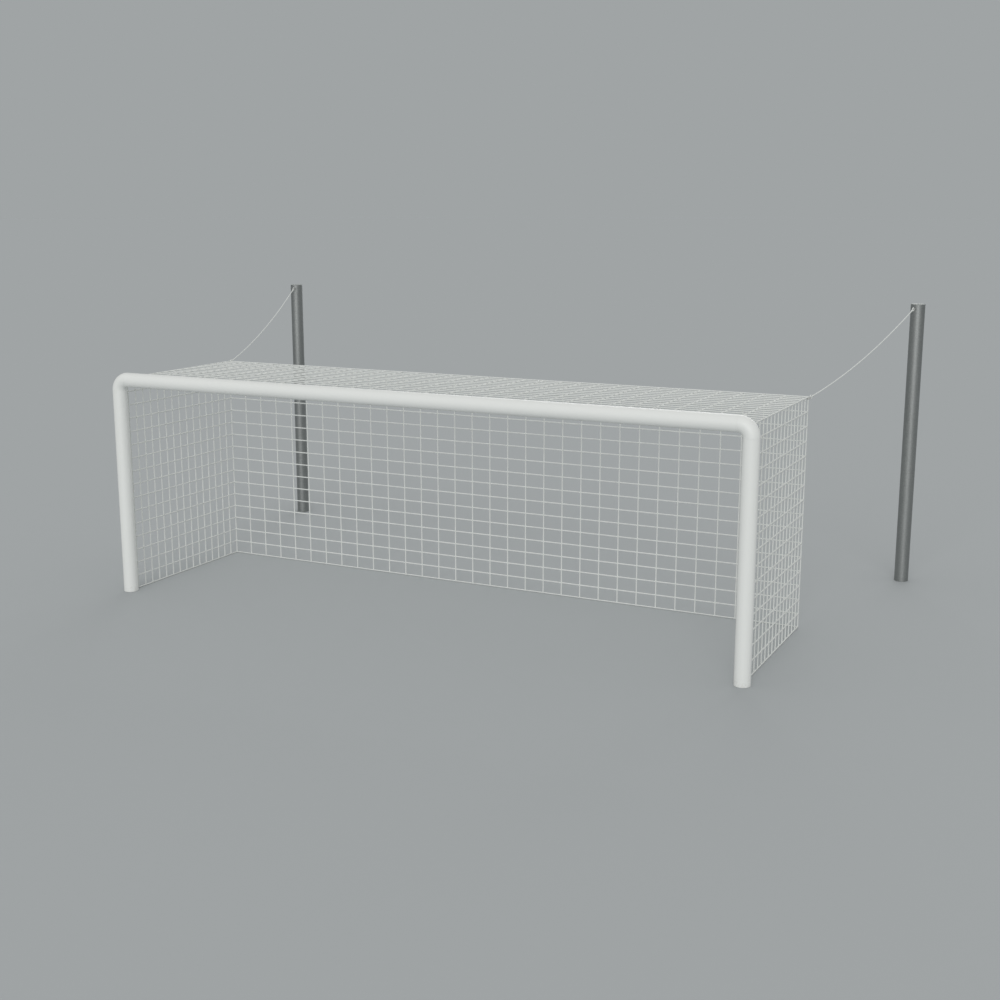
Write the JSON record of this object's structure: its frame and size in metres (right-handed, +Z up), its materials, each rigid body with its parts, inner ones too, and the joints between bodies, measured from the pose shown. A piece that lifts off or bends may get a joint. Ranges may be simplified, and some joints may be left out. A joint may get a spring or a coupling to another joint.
{
  "type": "soccer goal",
  "caption": "Full-size soccer goal of round white tube with a box net held up by free-standing rear poles, tension cords and snap hooks.",
  "frame": {"origin": "on the ground, at the centre of the footprint of the uprights and rear poles", "axes": "+X along the crossbar to the right as seen from in front of the mouth, +Y from the mouth to the back of the net, +Z up"},
  "size_m": [8.9252, 4.702, 3.353],
  "materials": {
    "white_tube": "smooth white powder coat",
    "galvanised_tube": "satin grey galvanised",
    "steel_hardware": "polished stainless steel",
    "white_cap": "moulded, fine grain",
    "grey_cap": "moulded, fine grain",
    "net_twine": "white twisted twine",
    "tension_rope": "white twisted rope",
    "white_nylon": "moulded nylon"
  },
  "bodies": {
    "frame": {"crossbar": "white_tube", "left_upright": "white_tube", "right_upright": "white_tube", "left_corner_elbow": "white_tube", "right_corner_elbow": "white_tube", "left_rear_pole": "galvanised_tube", "right_rear_pole": "galvanised_tube", "left_upright_bolt": "steel_hardware", "right_upright_bolt": "steel_hardware", "left_crossbar_bolt": "steel_hardware", "right_crossbar_bolt": "steel_hardware", "left_eye_bolt": "steel_hardware", "right_eye_bolt": "steel_hardware", "left_eye_nut": "steel_hardware", "right_eye_nut": "steel_hardware", "left_snap_hook": "steel_hardware", "right_snap_hook": "steel_hardware", "left_gate_pin": "steel_hardware", "right_gate_pin": "steel_hardware", "left_foot_cap": "white_cap", "right_foot_cap": "white_cap", "left_pole_foot_cap": "grey_cap", "right_pole_foot_cap": "grey_cap", "left_pole_top_cap": "grey_cap", "right_pole_top_cap": "grey_cap", "net_roof": "net_twine", "net_back": "net_twine", "net_left_side": "net_twine", "net_right_side": "net_twine", "left_tension_cord": "tension_rope", "right_tension_cord": "tension_rope", "left_hook_cord_loop": "tension_rope", "right_hook_cord_loop": "tension_rope", "left_pole_cord_loop": "tension_rope", "right_pole_cord_loop": "tension_rope", "crossbar_clip_01": "white_nylon", "crossbar_clip_02": "white_nylon", "crossbar_clip_03": "white_nylon", "crossbar_clip_04": "white_nylon", "crossbar_clip_05": "white_nylon", "crossbar_clip_06": "white_nylon", "crossbar_clip_07": "white_nylon", "crossbar_clip_08": "white_nylon", "crossbar_clip_09": "white_nylon", "crossbar_clip_10": "white_nylon", "left_upright_clip_1": "white_nylon", "left_upright_clip_2": "white_nylon", "left_upright_clip_3": "white_nylon", "left_upright_clip_4": "white_nylon", "left_upright_clip_5": "white_nylon", "right_upright_clip_1": "white_nylon", "right_upright_clip_2": "white_nylon", "right_upright_clip_3": "white_nylon", "right_upright_clip_4": "white_nylon", "right_upright_clip_5": "white_nylon"},
    "left_gate": {"left_hook_gate": "steel_hardware"},
    "right_gate": {"right_hook_gate": "steel_hardware"}
  },
  "joints": [
    {"name": "left_gate_hinge", "type": "hinge", "parent": "frame", "child": "left_gate", "pos_m": [-3.75775, -0.20262, 2.50625], "axis": [-0.0485, 0.1884, -0.9809], "range_deg": [0, 25], "stiffness_Nm_per_rad": 0.02, "springref_deg": -28.65},
    {"name": "right_gate_hinge", "type": "hinge", "parent": "frame", "child": "right_gate", "pos_m": [3.75775, -0.20262, 2.50625], "axis": [-0.0485, -0.1884, 0.9809], "range_deg": [0, 25], "stiffness_Nm_per_rad": 0.02, "springref_deg": -28.65}
  ]
}
